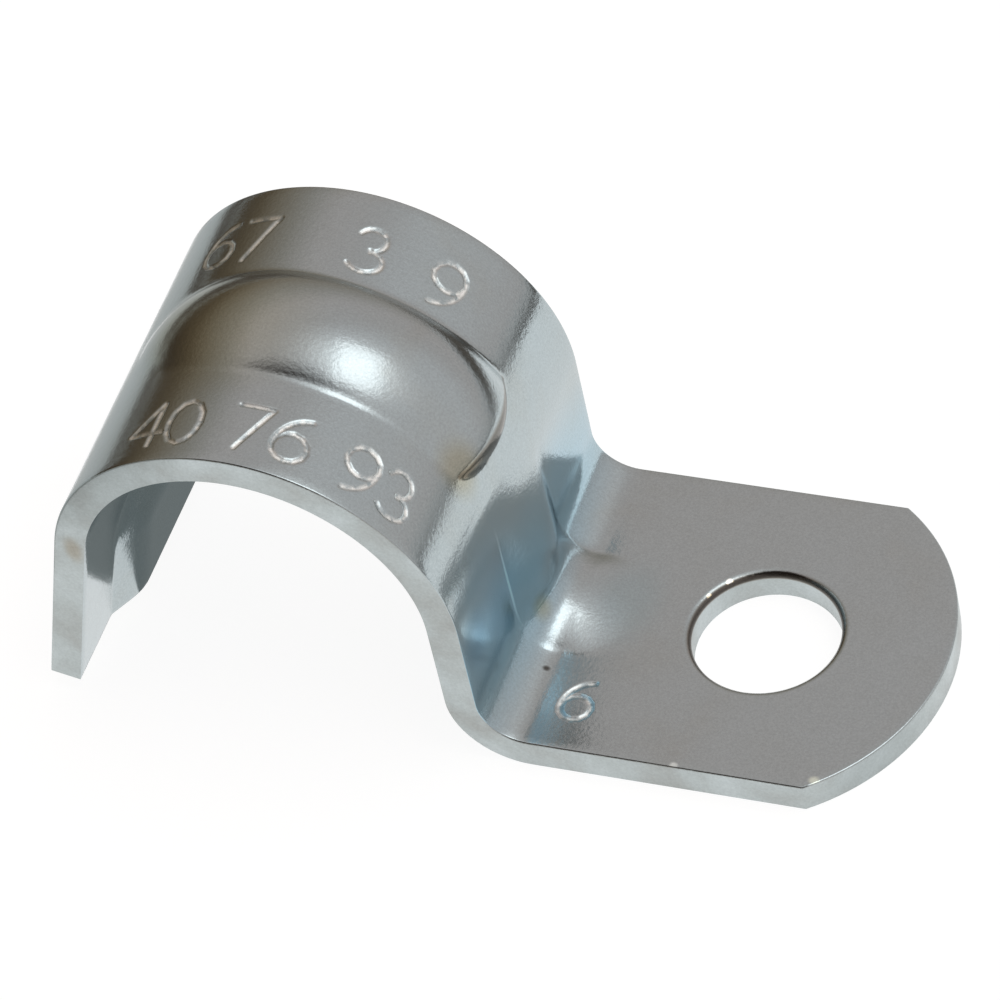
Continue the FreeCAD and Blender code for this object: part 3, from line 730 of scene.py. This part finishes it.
def softbox(name, place, aim, width, height, watts):
    """A rectangular lamp that looks at a point."""
    data = bpy.data.lights.new(name, "AREA")
    data.shape = "RECTANGLE"
    data.size = width
    data.size_y = height
    data.energy = watts
    lamp = bpy.data.objects.new(name, data)
    bpy.context.scene.collection.objects.link(lamp)
    lamp.location = place
    lamp.rotation_euler = (Vector(aim) - Vector(place)).to_track_quat("-Z", "Y").to_euler()


softbox("overhead", place=(0.18, 0.016, 0.46), aim=(-0.012, 0, 0.006),
        width=0.34, height=0.19, watts=0.145)

# The room is a colour scale over how far a direction leans up and towards the foot. A dark
# zone stands for the photographer and a bright one for the glow round the lamp.
LEAN_LIMIT = 1.5
ROOM_COLOURS = [
    (-0.85, (0.08, 0.058, 0.04)), (-0.55, (0.175, 0.13, 0.085)), (-0.37, (0.29, 0.235, 0.18)),
    (0.02, (0.42, 0.37, 0.33)), (0.40, (0.60, 0.525, 0.50)), (0.8, (0.60, 0.54, 0.52)),
    (1.12, (0.69, 0.65, 0.64)),
]
PERSON_WAY = (-0.10, -0.75, 0.65)
PERSON_COLOURS = [(0.78, WHITE), (0.90, (0.08, 0.07, 0.065))]
LAMP_WAY = (0.377, 0.033, 0.926)
GLOW_COLOURS = [(0.80, (0, 0, 0)), (0.90, (0.10, 0.10, 0.10)), (0.96, (0.38, 0.38, 0.38)),
                (1.0, (0.75, 0.77, 0.77))]

world = bpy.data.worlds.new("room")
bpy.context.scene.world = world
world.use_nodes = True
background = world.node_tree.nodes["Background"]
way = node(world, "ShaderNodeTexCoord")
parts = node(world, "ShaderNodeSeparateXYZ")
link(world, way, "Generated", parts, "Vector")
lean = node(world, "ShaderNodeMath", operation="ADD")
link(world, parts, "X", lean, 0)
link(world, parts, "Z", lean, 1)
lean_share = node(world, "ShaderNodeMapRange")
lean_share.inputs["From Min"].default_value = -LEAN_LIMIT
lean_share.inputs["From Max"].default_value = LEAN_LIMIT
link(world, lean, "Value", lean_share, "Value")
room_stops = [((place + LEAN_LIMIT) / (2 * LEAN_LIMIT), colour) for place, colour in ROOM_COLOURS]
room = shades(world, lean_share, "Result", room_stops)


def shades_towards(direction, stops):
    """A colour scale over how closely a direction of the room agrees with a given one."""
    agreement = node(world, "ShaderNodeVectorMath", operation="DOT_PRODUCT")
    link(world, way, "Generated", agreement, 0)
    agreement.inputs[1].default_value = direction
    return shades(world, agreement, "Value", stops)


person = shades_towards(PERSON_WAY, PERSON_COLOURS)
room = multiplied(world, room, "Color", person, "Color")
glow = shades_towards(LAMP_WAY, GLOW_COLOURS)
light = node(world, "ShaderNodeMix", data_type="RGBA", blend_type="ADD")
light.inputs[MIX_FACTOR].default_value = 1
link(world, room, MIX_RESULT, light, MIX_FIRST)
link(world, glow, "Color", light, MIX_SECOND)
link(world, light, MIX_RESULT, background, "Color")

# The camera stands where the photographer's did: place in metres, turns in degrees, and the
# lens and the sensor in millimetres, all from the fit to the outlines in the photograph.

CAMERA_PLACE = (0.07612, -0.15763, 0.20192)
CAMERA_ROUND, CAMERA_DOWN, CAMERA_ROLL = 28.958, 47.173, -13.626
camera_data = bpy.data.cameras.new("camera")
camera_data.lens = 223.9
camera_data.sensor_width = 36
camera_data.clip_start = 0.01
camera_data.clip_end = 10
camera = bpy.data.objects.new("camera", camera_data)
bpy.context.scene.collection.objects.link(camera)
turn = (Matrix.Rotation(math.radians(CAMERA_ROUND), 4, "Z")
        @ Matrix.Rotation(math.radians(90 - CAMERA_DOWN), 4, "X")
        @ Matrix.Rotation(math.radians(CAMERA_ROLL), 4, "Z"))
camera.matrix_world = Matrix.Translation(CAMERA_PLACE) @ turn
bpy.context.scene.camera = camera
bpy.context.scene.view_settings.view_transform = "Standard"
